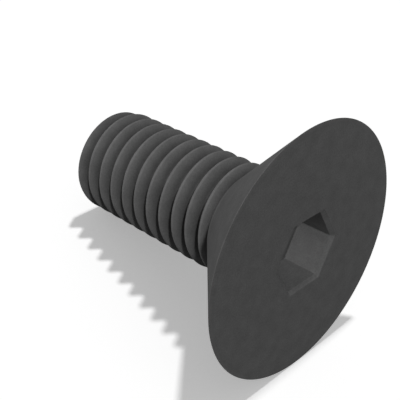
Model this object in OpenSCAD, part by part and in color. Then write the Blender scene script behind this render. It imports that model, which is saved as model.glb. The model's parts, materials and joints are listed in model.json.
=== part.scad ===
/* [Overall] */
// Length of the screw with its head included
screw_len = 12; // [8:0.5:16]

/* [Thread] */
// Outer diameter of the thread
thread_d = 5; // [4:0.1:6]
// Distance from one turn of the thread to the next
pitch = 0.8; // [0.7:0.05:1]
// Angle between the two flanks of the groove
flank_angle = 60; // [55:1:70]
// Angle round the shank, from its side towards its top, at which the root lies whole pitches below the head face
thread_turn = 172; // [0:1:359]
// Height of the chamfer that ends the thread at the tip
tip_chamfer = 0.4; // [0.2:0.05:0.8]

/* [Head] */
// Diameter of the head across its sharp edge
head_d = 11.2; // [9:0.1:12]
// Angle across the countersink cone
cone_angle = 90; // [80:1:100]

/* [Socket] */
// Width of the hexagon socket across its flats
socket_w = 3; // [2:0.5:3.5]
// Depth of the socket below the head face
socket_depth = 1.75; // [1:0.05:2]
// Width of the chamfer round the socket's mouth
mouth_chamfer = 0.15; // [0.05:0.05:0.3]

/* [Hidden] */
// Cuts reach this far past the face that they open
proud = 0.01;

head_r = head_d / 2;
thread_r = thread_d / 2;
half_cone = cone_angle / 2;
half_flank = flank_angle / 2;

// A sharp triangle of this height fills one pitch; the crest is cut flat an eighth down, and the root is rounded
sharp_h = pitch / 2 / tan(half_flank);
crest_w = pitch / 8;
root_arc = sharp_h / 6;
root_arc_centre = thread_r - sharp_h * 7 / 8 + root_arc / sin(half_flank);
root_r = root_arc_centre - root_arc;

// The cutter of the groove has lips outside the thread, which leave half of the crest's flat between them
lip = crest_w / 4;
cutter_r = thread_r + lip / tan(half_flank);
cutter_half_w = (pitch - crest_w) / 2 + lip;
turn_steps = 48;
root_steps = 3;

// The cone of the head runs on down to the root of the groove, and the groove starts inside it
cone_h = (head_r - root_r) / tan(half_cone);
shank_top = -cone_h / 2;
groove_low = -screw_len - pitch;
groove_steps = ceil((shank_top - groove_low) / pitch * turn_steps);

// The screw lies on the edge of its head and on the last full crest along its underside
under = 270;
first_crest = ((thread_turn - under) / 360 + 1 / 2) * pitch + crest_w / 2;
full_len = screw_len - tip_chamfer;
last_crest = first_crest + floor((full_len - first_crest) / pitch) * pitch;
rest_angle = atan((head_r - thread_r) / last_crest);
rest_low = head_r * cos(rest_angle);
reach_front = head_r * sin(rest_angle);
reach_back = screw_len * cos(rest_angle) + (thread_r - tip_chamfer) * sin(rest_angle);

// Section of the groove as radius and height, from its lower lip round the root to its upper lip
function groove_section() = concat(
    [[cutter_r, -cutter_half_w]],
    [
        for (i = [0 : root_steps])
            let (a = (90 - half_flank) * (2 * i / root_steps - 1))
            [root_arc_centre - root_arc * cos(a), root_arc * sin(a)]
    ],
    [[cutter_r, cutter_half_w]]
);

// The same section set on the right-hand helix, one step further up and round for each i
function groove_ring(i) =
    let (
        z = groove_low + pitch * i / turn_steps,
        a = thread_turn + 360 * z / pitch
    )
    [for (p = groove_section()) [p[0] * cos(a), p[0] * sin(a), z + p[1]]];

// Helical groove of the thread, longer than the shank at both ends
module groove() {
    n = len(groove_section());
    sides = [
        for (i = [0 : groove_steps - 1])
            for (j = [0 : n - 1])
                let (a = i * n + j, b = i * n + (j + 1) % n)
                each [[a, b + n, b], [a, a + n, b + n]]
    ];
    low_end = [for (j = [0 : n - 1]) j];
    high_end = [for (j = [n - 1 : -1 : 0]) groove_steps * n + j];
    polyhedron(
        points = [for (i = [0 : groove_steps]) each groove_ring(i)],
        faces = concat([low_end, high_end], sides),
        convexity = 20
    );
}

// Threaded shank, chamfered at its tip
module shank() {
    difference() {
        union() {
            translate([0, 0, -full_len])
                cylinder(h = full_len + shank_top, r = thread_r, $fn = 96);
            translate([0, 0, -screw_len])
                cylinder(h = tip_chamfer, r1 = thread_r - tip_chamfer, r2 = thread_r, $fn = 96);
        }
        groove();
    }
}

// Countersunk head, with its flat face at height 0
module head() {
    translate([0, 0, -cone_h])
        cylinder(h = cone_h, r1 = root_r, r2 = head_r, $fn = 144);
}

// Hexagon socket with a flat bottom and a chamfered mouth, two of its corners to the sides
module socket() {
    wall_r = socket_w / 2 / cos(30);
    mouth_r = wall_r + mouth_chamfer / cos(30);
    translate([0, 0, -socket_depth])
        cylinder(h = socket_depth + proud, r = wall_r, $fn = 6);
    translate([0, 0, -mouth_chamfer])
        cylinder(h = mouth_chamfer + proud, r1 = wall_r, r2 = mouth_r + proud / cos(30), $fn = 6);
}

// The screw along its own axis, head up
module upright_screw() {
    difference() {
        union() {
            shank();
            head();
        }
        socket();
    }
}

// The screw at rest: its head faces forward along X and leans back, with the middle of its length over the origin
module screw() {
    color("#424242")
        translate([(reach_back - reach_front) / 2, 0, rest_low])
            rotate([0, -rest_angle, 0])
                rotate([90, 0, 90])
                    upright_screw();
}

screw();
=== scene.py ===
import json
from math import cos, pi, radians, sin, tan

import bmesh
import bpy
from mathutils import Matrix, Vector


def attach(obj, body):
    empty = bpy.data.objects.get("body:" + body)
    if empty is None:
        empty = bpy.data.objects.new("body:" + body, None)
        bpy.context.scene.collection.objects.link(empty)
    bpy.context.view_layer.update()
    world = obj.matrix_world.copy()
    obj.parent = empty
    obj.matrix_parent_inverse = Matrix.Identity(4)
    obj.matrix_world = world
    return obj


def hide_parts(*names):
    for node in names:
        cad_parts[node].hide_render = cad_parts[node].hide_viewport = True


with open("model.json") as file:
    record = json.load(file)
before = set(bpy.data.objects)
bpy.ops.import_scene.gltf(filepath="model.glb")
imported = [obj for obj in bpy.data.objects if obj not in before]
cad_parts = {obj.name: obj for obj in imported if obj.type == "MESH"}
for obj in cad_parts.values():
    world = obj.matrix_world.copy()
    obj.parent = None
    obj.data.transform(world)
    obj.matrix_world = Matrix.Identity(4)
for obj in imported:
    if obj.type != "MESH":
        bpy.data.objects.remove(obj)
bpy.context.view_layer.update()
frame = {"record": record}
mounts = {mount["name"]: mount for mount in frame["record"]["mounts"]}
sizes = {name: mount["dims"] for name, mount in mounts.items()}
millimetre = 0.001  # the screw is modelled in millimetres and brought to metres at the end
near = 0.001  # places this close together count as one, in millimetres
weld = 0.0001  # and points this close are merged
facing = 0.9  # a face looks along an axis when its normal reaches this far that way
smoothUpTo = radians(25)  # a sharper edge is shaded as an edge
print("frame loaded")


# small helpers, for working as by hand

def deselectAll():
    for thing in bpy.context.selected_objects:
        thing.select_set(False)


def take(thing):
    deselectAll()
    thing.select_set(True)
    bpy.context.view_layer.objects.active = thing


def applyPlace(thing):
    take(thing)
    bpy.ops.object.transform_apply(location=True, rotation=True, scale=True)


def editSelecting(thing, kind, wanted=None):  # kind is VERT, EDGE or FACE, and wanted says which of them
    take(thing)
    bpy.ops.object.mode_set(mode="EDIT")
    bpy.ops.mesh.select_mode(type=kind)
    bpy.ops.mesh.select_all(action="DESELECT" if wanted else "SELECT")
    if wanted:
        shape = bmesh.from_edit_mesh(thing.data)
        for part in {"VERT": shape.verts, "EDGE": shape.edges, "FACE": shape.faces}[kind]:
            if wanted(part):
                part.select_set(True)
        shape.select_flush_mode()
        bmesh.update_edit_mesh(thing.data)


def editDone():
    bpy.ops.object.mode_set(mode="OBJECT")


def finishModifier(thing, kind, **settings):
    take(thing)
    modifier = thing.modifiers.new(kind.lower(), kind)
    for name, value in settings.items():
        setattr(modifier, name, value)
    bpy.ops.object.modifier_apply(modifier=modifier.name)


def combine(thing, tool, operation):
    finishModifier(thing, "BOOLEAN", object=tool, operation=operation, solver="EXACT")
    bpy.data.objects.remove(tool)


def reportShape(stage, thing):
    shape = bmesh.new()
    shape.from_mesh(thing.data)
    gaps = sum(not edge.is_manifold for edge in shape.edges)
    print(stage, "-", len(shape.faces), "faces,", gaps, "open edges")
    shape.free()


# the threaded shank: one turn's outline is wound up the axis, which runs along Z with the head's face at 0

thread = {
    "outerR": sizes["thread"]["r_mm"],
    "pitch": 0.8,
    "halfFlank": radians(30),
    "turnAngle": radians(172),  # where round the axis the root lies whole pitches below the head's face
    "length": 12.0,
    "tipChamfer": 0.4,
    "depthShare": 7 / 8,  # of the height of the sharp triangle that fills one pitch
    "rootShare": 1 / 6,  # of that height, as the radius of the root
    "crestShare": 1 / 8,  # of the pitch, as the width of the crest before it is rounded
    "crestRound": 0.048,  # the rolled crest is round, not the cut thread's flat
    "crestSteps": 5,
    "rootSteps": 8,
    "stepsPerTurn": 96,
    "spareTurns": 3,  # wound past the ends and cut off again
    "pastTip": 1 / 3,  # of the pitch, left beyond the tip until the chamfered plug trims it
    "plugFacets": 192,
}


def makeShank():
    t = thread
    sharpHeight = t["pitch"] / 2 / tan(t["halfFlank"])
    grooveDepth = sharpHeight * t["depthShare"]
    crestHalf = t["pitch"] * t["crestShare"] / 2
    grooveHalf = t["pitch"] / 2 - crestHalf
    turns = int(t["length"] / t["pitch"]) + t["spareTurns"]
    startZ = -t["pitch"] * (turns - 1 / 2)
    rootZ = startZ + t["pitch"] / 2
    belowTip = t["length"] + t["pitch"] * t["pastTip"]
    bpy.ops.mesh.primitive_plane_add(size=1)
    shank = bpy.context.object
    shank.name = "shank"
    editSelecting(shank, "VERT")
    bpy.ops.mesh.merge(type="CENTER")
    bpy.ops.transform.translate(value=(t["outerR"], 0, startZ))
    bpy.ops.mesh.extrude_region_move(TRANSFORM_OT_translate={"value": (0, 0, crestHalf)})
    bpy.ops.mesh.extrude_region_move(TRANSFORM_OT_translate={"value": (-grooveDepth, 0, grooveHalf)})
    bpy.ops.mesh.extrude_region_move(TRANSFORM_OT_translate={"value": (grooveDepth, 0, grooveHalf)})
    bpy.ops.mesh.extrude_region_move(TRANSFORM_OT_translate={"value": (0, 0, crestHalf)})
    editDone()
    rootR = t["outerR"] - grooveDepth
    rootArc = sharpHeight * t["rootShare"]
    editSelecting(shank, "VERT", lambda v: v.co.x < rootR + near)
    bpy.ops.mesh.bevel(affect="VERTICES", offset=rootArc / tan(t["halfFlank"]), segments=t["rootSteps"])
    editDone()
    editSelecting(shank, "VERT", lambda v: v.co.x > t["outerR"] - near
                  and abs(abs(v.co.z - rootZ) - grooveHalf) < near)
    bpy.ops.mesh.bevel(affect="VERTICES", offset=t["crestRound"], segments=t["crestSteps"])
    editDone()
    finishModifier(shank, "SCREW", axis="Z", angle=2 * pi, screw_offset=t["pitch"], iterations=turns,
                   steps=t["stepsPerTurn"], render_steps=t["stepsPerTurn"])
    shank.rotation_euler = (0, 0, t["turnAngle"])
    applyPlace(shank)
    editSelecting(shank, "VERT")
    bpy.ops.mesh.remove_doubles(threshold=weld)
    bpy.ops.mesh.select_all(action="SELECT")
    bpy.ops.mesh.bisect(plane_co=(0, 0, -belowTip), plane_no=(0, 0, 1), use_fill=True, clear_inner=True)
    bpy.ops.mesh.select_all(action="SELECT")
    bpy.ops.mesh.bisect(plane_co=(0, 0, -t["pitch"]), plane_no=(0, 0, 1), use_fill=True, clear_outer=True)
    bpy.ops.mesh.select_all(action="SELECT")
    bpy.ops.mesh.normals_make_consistent(inside=False)
    editDone()
    return shank


def trimTip(shank):  # a plug with a chamfered end keeps what lies inside it
    t = thread
    room = t["tipChamfer"]  # the plug clears the crests by this much
    bpy.ops.mesh.primitive_cylinder_add(vertices=t["plugFacets"], radius=t["outerR"] + room,
                                        depth=t["length"], location=(0, 0, -t["length"] / 2))
    plug = bpy.context.object
    applyPlace(plug)
    editSelecting(plug, "EDGE", lambda e: all(v.co.z < near - t["length"] for v in e.verts))
    bpy.ops.mesh.bevel(affect="EDGES", offset=t["tipChamfer"] + room, segments=1)
    editDone()
    combine(shank, plug, "INTERSECT")


# the head: a cone with its edge just broken, and a hexagon socket cut by a tool shaped like the key

head = {
    "outerR": sizes["countersink_cone"]["r_mm"],
    "innerR": 1.9,  # under the thread's root, so that the cone closes on the shank
    "halfCone": radians(45),
    "rimRound": 0.03,
    "rimSteps": 3,
    "facets": 256,
}
socket = {
    "halfWidth": sizes["hexagon_socket"]["r_mm"],
    "depth": sizes["hexagon_socket"]["length_mm"],
    "mouthChamfer": 0.15,
    "cornerRound": 0.04,
    "cornerSteps": 2,
    "proud": 0.05,  # the key stands this far above the head's face
    "flats": 6,
}


def makeHead():
    h = head
    depth = (h["outerR"] - h["innerR"]) / tan(h["halfCone"])
    bpy.ops.mesh.primitive_cone_add(vertices=h["facets"], radius1=h["innerR"], radius2=h["outerR"],
                                    depth=depth, location=(0, 0, -depth / 2))
    top = bpy.context.object
    applyPlace(top)
    editSelecting(top, "EDGE", lambda e: all(v.co.z > -near for v in e.verts))
    bpy.ops.mesh.bevel(affect="EDGES", offset=h["rimRound"], segments=h["rimSteps"])
    editDone()
    return top


def cutSocket(screw):
    s = socket
    shaft = s["depth"] - s["mouthChamfer"]
    cornerR = s["halfWidth"] / cos(pi / s["flats"])
    bpy.ops.mesh.primitive_cylinder_add(vertices=s["flats"], radius=cornerR, depth=shaft,
                                        location=(0, 0, shaft / 2 - s["depth"]), rotation=(0, 0, pi / 2))
    key = bpy.context.object
    applyPlace(key)
    editSelecting(key, "EDGE", lambda e: abs(e.verts[0].co.z - e.verts[1].co.z) > near)
    bpy.ops.mesh.bevel(affect="EDGES", offset=s["cornerRound"], segments=s["cornerSteps"])
    editDone()
    editSelecting(key, "FACE", lambda f: f.normal.z > facing)
    mouthHeight = s["mouthChamfer"] + s["proud"]
    growth = 1 + mouthHeight / s["halfWidth"]
    bpy.ops.mesh.extrude_region_move(TRANSFORM_OT_translate={"value": (0, 0, mouthHeight)})
    bpy.ops.transform.resize(value=(growth, growth, 1), center_override=(0, 0, 0))
    editDone()
    combine(screw, key, "DIFFERENCE")


screw = makeShank()
screw.name = "countersunkScrew"
trimTip(screw)
reportShape("thread wound and tip chamfered", screw)
combine(screw, makeHead(), "UNION")
reportShape("head joined", screw)
cutSocket(screw)
reportShape("socket cut", screw)

# its place: the mounts say where the middle of the head's face is and which way the face looks

axis = Vector(mounts["head_face"]["axis"]).normalized()
side = Vector((0, 1, 0))
rise = axis.cross(side)
headMiddle = Vector(mounts["countersink_cone"]["pos_m"])
turned = Matrix((side, rise, axis)).transposed()
screw.matrix_world = Matrix.Translation(headMiddle) @ turned.to_4x4() @ Matrix.Scale(millimetre, 4)
applyPlace(screw)
bpy.ops.object.shade_smooth_by_angle(angle=smoothUpTo)
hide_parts("screw")
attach(screw, "root")
print("screw laid in its place")


# materials

def linear(hexColour):
    values = [int(hexColour[i:i + 2], 16) / 255 for i in (1, 3, 5)]
    return [v / 12.92 if v <= 0.04045 else ((v + 0.055) / 1.055) ** 2.4 for v in values] + [1]


def addNode(tree, kind, settings=None, links=None):  # links gives an input the node and output that feed it
    node = tree.nodes.new(kind)
    settings = settings or {}
    links = links or {}
    for name, value in settings.items():
        if hasattr(node, name):
            setattr(node, name, value)
    inputs = {entry.identifier: entry for entry in node.inputs}
    for name, value in settings.items():
        if name in inputs:
            inputs[name].default_value = value
    for name, (source, output) in links.items():
        outputs = {entry.identifier: entry for entry in source.outputs}
        tree.links.new(outputs[output], inputs[name])
    return node


def newMaterial(name):
    material = bpy.data.materials.new(name)
    material.use_nodes = True
    material.node_tree.nodes.clear()
    return material, material.node_tree


# Black oxide on cold-forged, rolled and turned steel: a thin dark skin with a dry satin gleam, faintly
# blotched and rubbed a little lighter on the rim and the mouth of the socket; the thread's groove is drawn
# darker as painted shade, and its crests lighter with wear and a painted highlight.
oxide = {
    "colour": "#3c3c3c",
    # painted shade: the colour drawn into the thread's groove
    "paintedGrooveShade": "#303030",
    # wear on the rim and the socket's mouth, and wear with a painted highlight on the thread's crests
    "wearAndHighlightColour": "#444444",
    "metallic": 0.15,
    "roughness": 0.55,
    "specular": 0,
    "blotch": 0.6,  # mm across
    "blotchShade": 0.08,
    "blotchDetail": 3,
    "grain": 0.07,  # mm across, that of a blasted and oxidised skin drawn twice as coarse, so that it shows
    "grainShade": 0.1,
    "grainDetail": 2,
    "grainHeight": 0.0015,  # mm
    "toolMark": 0.16,  # mm apart, twice the feed of a fine facing cut, so that the rings show
    "toolShade": 0.03,
    "toolDetail": 2,
    "toolHeight": 0.002,  # mm
    "toolRoughness": 0.06,
    "grooveShadeR": (2.08, 2.34),  # painted shade, darkest up to the first radius, in mm, and gone from the second
    "crestWearAndHighlightR": (2.22, 2.44),  # plain up to the first radius, and from the second lighter with wear and a painted highlight
    "rimR": (5.54, 5.6),
    "threadZ": (-11.9, -3.1),  # mm out of the head's face, so that the depth is below 0
    "mouthZ": (-0.15, -0.01),
    "mouthR": 2.1,
    "mouthWear": 0.5,
}
noiseRange = (0.3, 0.7)  # nearly all of a noise texture lies between these


def makeOxide():
    o = oxide
    material, tree = newMaterial("blackOxideSteel")

    # millimetres from the middle of the head's face, with Z out of it
    place = addNode(tree, "ShaderNodeTexCoord")
    local = addNode(tree, "ShaderNodeMapping", {
        "vector_type": "TEXTURE",
        "Location": headMiddle,
        "Rotation": turned.to_euler(),
        "Scale": [millimetre] * 3,
    }, {"Vector": (place, "Object")})
    split = addNode(tree, "ShaderNodeSeparateXYZ", {}, {"Vector": (local, "Vector")})
    across = addNode(tree, "ShaderNodeCombineXYZ", {}, {"X": (split, "X"), "Y": (split, "Y")})
    radius = addNode(tree, "ShaderNodeVectorMath", {"operation": "LENGTH"}, {"Vector": (across, "Vector")})

    # masks for the groove's painted shade, for the crests, worn and with a painted highlight, and for the
    # rim and the socket's mouth, which are rubbed
    onThread = addNode(tree, "ShaderNodeMath", {
        "operation": "COMPARE",
        "Value_001": (o["threadZ"][0] + o["threadZ"][1]) / 2,
        "Value_002": (o["threadZ"][1] - o["threadZ"][0]) / 2,
    }, {"Value": (split, "Z")})
    # painted shade: darkest at the thread's root, fading out towards the flanks
    grooveShadeRamp = addNode(tree, "ShaderNodeMapRange", {
        "interpolation_type": "SMOOTHSTEP",
        "From Min": o["grooveShadeR"][0],
        "From Max": o["grooveShadeR"][1],
        "To Min": 1,
        "To Max": 0,
    }, {"Value": (radius, "Value")})
    paintedGrooveShade = addNode(tree, "ShaderNodeMath", {"operation": "MULTIPLY"},
                       {"Value": (grooveShadeRamp, "Result"), "Value_001": (onThread, "Value")})
    # worn crests with a painted highlight: lighter towards the crests' tops
    crestWearAndHighlightRamp = addNode(tree, "ShaderNodeMapRange", {
        "interpolation_type": "SMOOTHSTEP",
        "From Min": o["crestWearAndHighlightR"][0],
        "From Max": o["crestWearAndHighlightR"][1],
    }, {"Value": (radius, "Value")})
    crestWearAndHighlight = addNode(tree, "ShaderNodeMath", {"operation": "MULTIPLY"},
                      {"Value": (crestWearAndHighlightRamp, "Result"), "Value_001": (onThread, "Value")})
    onRim = addNode(tree, "ShaderNodeMapRange", {
        "interpolation_type": "SMOOTHSTEP",
        "From Min": o["rimR"][0],
        "From Max": o["rimR"][1],
    }, {"Value": (radius, "Value")})
    shallow = addNode(tree, "ShaderNodeMath", {
        "operation": "COMPARE",
        "Value_001": (o["mouthZ"][0] + o["mouthZ"][1]) / 2,
        "Value_002": (o["mouthZ"][1] - o["mouthZ"][0]) / 2,
    }, {"Value": (split, "Z")})
    inner = addNode(tree, "ShaderNodeMath", {"operation": "LESS_THAN", "Value_001": o["mouthR"]},
                    {"Value": (radius, "Value")})
    chamfer = addNode(tree, "ShaderNodeMath", {"operation": "MULTIPLY"},
                      {"Value": (shallow, "Value"), "Value_001": (inner, "Value")})
    onMouth = addNode(tree, "ShaderNodeMath", {"operation": "MULTIPLY", "Value_001": o["mouthWear"]},
                      {"Value": (chamfer, "Value")})
    rimWearAndCrestHighlight = addNode(tree, "ShaderNodeMath", {"operation": "MAXIMUM"},
                         {"Value": (crestWearAndHighlight, "Value"), "Value_001": (onRim, "Result")})
    wearAndHighlight = addNode(tree, "ShaderNodeMath", {"operation": "MAXIMUM"},
                     {"Value": (rimWearAndCrestHighlight, "Value"), "Value_001": (onMouth, "Value")})

    # blotches, grain and the rings that the tool left
    blotch = addNode(tree, "ShaderNodeTexNoise", {"Scale": 1 / o["blotch"], "Detail": o["blotchDetail"]},
                     {"Vector": (local, "Vector")})
    grain = addNode(tree, "ShaderNodeTexNoise", {"Scale": 1 / o["grain"], "Detail": o["grainDetail"]},
                    {"Vector": (local, "Vector")})
    rings = addNode(tree, "ShaderNodeTexNoise", {
        "noise_dimensions": "1D",
        "Scale": 1 / o["toolMark"],
        "Detail": o["toolDetail"],
    }, {"W": (radius, "Value")})

    # the colour: the groove's painted shade, the skin, and the worn edges with the crests' painted
    # highlight, varied by all three patterns
    # the groove's painted shade is mixed into the skin here
    skinWithGrooveShade = addNode(tree, "ShaderNodeMix", {
        "data_type": "RGBA",
        "A_Color": linear(o["colour"]),
        "B_Color": linear(o["paintedGrooveShade"]),
    }, {"Factor_Float": (paintedGrooveShade, "Value")})
    # wear, and the crests' painted highlight, are mixed in here
    wornAndHighlitSkin = addNode(tree, "ShaderNodeMix", {"data_type": "RGBA", "B_Color": linear(o["wearAndHighlightColour"])},
                   {"Factor_Float": (wearAndHighlight, "Value"), "A_Color": (skinWithGrooveShade, "Result_Color")})
    colour = wornAndHighlitSkin
    colourOutput = "Result_Color"
    for pattern, spread in ((blotch, "blotchShade"), (grain, "grainShade"), (rings, "toolShade")):
        shade = addNode(tree, "ShaderNodeMapRange", {
            "From Min": noiseRange[0],
            "From Max": noiseRange[1],
            "To Min": 1 - o[spread],
            "To Max": 1 + o[spread],
        }, {"Value": (pattern, "Fac")})
        colour = addNode(tree, "ShaderNodeVectorMath", {"operation": "SCALE"},
                         {"Vector": (colour, colourOutput), "Scale": (shade, "Result")})
        colourOutput = "Vector"

    # the gleam, and the fine relief of grain and rings
    satin = addNode(tree, "ShaderNodeMapRange", {
        "From Min": noiseRange[0],
        "From Max": noiseRange[1],
        "To Min": o["roughness"] - o["toolRoughness"],
        "To Max": o["roughness"] + o["toolRoughness"],
    }, {"Value": (rings, "Fac")})
    grainRelief = addNode(tree, "ShaderNodeMath", {"operation": "MULTIPLY", "Value_001": o["grainHeight"]},
                          {"Value": (grain, "Fac")})
    relief = addNode(tree, "ShaderNodeMath", {"operation": "MULTIPLY_ADD", "Value_001": o["toolHeight"]},
                     {"Value": (rings, "Fac"), "Value_002": (grainRelief, "Value")})
    bump = addNode(tree, "ShaderNodeBump", {"Strength": 1, "Distance": millimetre},
                   {"Height": (relief, "Value")})
    surface = addNode(tree, "ShaderNodeBsdfPrincipled", {
        "Metallic": o["metallic"],
        "Specular IOR Level": o["specular"],
    }, {
        "Base Color": (colour, colourOutput),
        "Roughness": (satin, "Result"),
        "Normal": (bump, "Normal"),
    })
    addNode(tree, "ShaderNodeOutputMaterial", {}, {"Surface": (surface, "BSDF")})
    return material


screw.data.materials.clear()
screw.data.materials.append(makeOxide())
print("black oxide finish on")


# the floor and the backdrop: white where a camera or a reflection sees them, outside the floor's shadow

floorLook = {
    "colour": "#fcfcfc",
    "seen": "#ffffff",
    "lift": 0.35,  # brings the lit floor up to white, and leaves the shadow a light grey
    "size": 2,  # metres
}
studio = {
    "colour": "#ffffff",
    "strength": 0.2,  # what the room's pale walls give the screw
    "seenStrength": 1,
}


def addSeen(tree):  # 1 for the rays that see, 0 for those that only carry light on
    ray = addNode(tree, "ShaderNodeLightPath")
    seenThrough = addNode(tree, "ShaderNodeMath", {"operation": "MAXIMUM"},
                          {"Value": (ray, "Is Glossy Ray"), "Value_001": (ray, "Is Transmission Ray")})
    return addNode(tree, "ShaderNodeMath", {"operation": "MAXIMUM"},
                   {"Value": (ray, "Is Camera Ray"), "Value_001": (seenThrough, "Value")})


def makePaper():
    paper, tree = newMaterial("whitePaper")
    matt = addNode(tree, "ShaderNodeBsdfDiffuse", {"Color": linear(floorLook["colour"])})
    lift = addNode(tree, "ShaderNodeMath", {"operation": "MULTIPLY", "Value_001": floorLook["lift"]},
                   {"Value": (addSeen(tree), "Value")})
    glow = addNode(tree, "ShaderNodeEmission", {"Color": linear(floorLook["seen"])},
                   {"Strength": (lift, "Value")})
    both = addNode(tree, "ShaderNodeAddShader", {},
                   {"Shader": (matt, "BSDF"), "Shader_001": (glow, "Emission")})
    addNode(tree, "ShaderNodeOutputMaterial", {}, {"Surface": (both, "Shader")})
    return paper


def makeStudio():
    room = bpy.data.worlds.new("studio")
    room.use_nodes = True
    room.cycles.sampling_method = "NONE"  # so even a room needs no map, which would blotch the floor
    tree = room.node_tree
    tree.nodes.clear()
    strength = addNode(tree, "ShaderNodeMapRange", {
        "To Min": studio["strength"],
        "To Max": studio["seenStrength"],
    }, {"Value": (addSeen(tree), "Value")})
    backdrop = addNode(tree, "ShaderNodeBackground", {"Color": linear(studio["colour"])},
                       {"Strength": (strength, "Result")})
    addNode(tree, "ShaderNodeOutputWorld", {}, {"Surface": (backdrop, "Background")})
    return room


deselectAll()
bpy.ops.mesh.primitive_plane_add(size=floorLook["size"])
floor = bpy.context.object
floor.name = "floor"
floor.data.materials.append(makePaper())
bpy.context.scene.world = makeStudio()
print("floor and backdrop laid")


# the lamps: each is far off, and comes from so much to the screw's side, above it and in front of its head

lamps = {
    "key": {"from": (0.278, 0.96, 0), "strength": 0.54, "spread": 4},
    "front": {"from": (-0.383, 0.663, 0.643), "strength": 1.27, "spread": 5, "screwOnly": True},
    "backFill": {"from": (-0.629, 0.509, -0.588), "strength": 0.88, "spread": 15, "screwOnly": True,
                 "shadowless": True},
}
screwAlone = bpy.data.collections.new("screwAlone")
screwAlone.objects.link(screw)


def addLamp(name, lamp):
    deselectAll()
    bpy.ops.object.light_add(type="SUN")
    sun = bpy.context.object
    sun.name = name
    sun.data.energy = lamp["strength"] * pi
    sun.data.angle = radians(lamp["spread"])
    sun.data.use_shadow = not lamp.get("shadowless")
    acrossScrew, above, ahead = lamp["from"]
    direction = side * acrossScrew + rise * above + axis * ahead
    sun.rotation_euler = direction.to_track_quat("Z", "Y").to_euler()
    if lamp.get("screwOnly"):
        sun.light_linking.receiver_collection = screwAlone


for name, lamp in lamps.items():
    addLamp(name, lamp)
print(len(lamps), "lamps set")


# the camera: upright to the screw's own axis, as in the photograph, half in front of the head and above it

view = {
    "aimDepth": 6.0,  # mm behind the head's face
    "distance": 33.3,  # mm
    "round": radians(45),
    "above": radians(30),
    "angle": radians(30),
    "nearest": 0.001,  # metres
    "farthest": 10,
}
target = headMiddle - axis * view["aimDepth"] * millimetre
level = axis * cos(view["round"]) - side * sin(view["round"])
back = level * cos(view["above"]) + rise * sin(view["above"])
upward = (rise - back * rise.dot(back)).normalized()
eye = target + back * view["distance"] * millimetre
deselectAll()
bpy.ops.object.camera_add()
camera = bpy.context.object
looking = Matrix((upward.cross(back), upward, back)).transposed()
camera.matrix_world = Matrix.Translation(eye) @ looking.to_4x4()
camera.data.angle = view["angle"]
camera.data.clip_start = view["nearest"]
camera.data.clip_end = view["farthest"]
bpy.context.scene.camera = camera
bpy.context.scene.view_settings.view_transform = "Standard"
print("camera set")
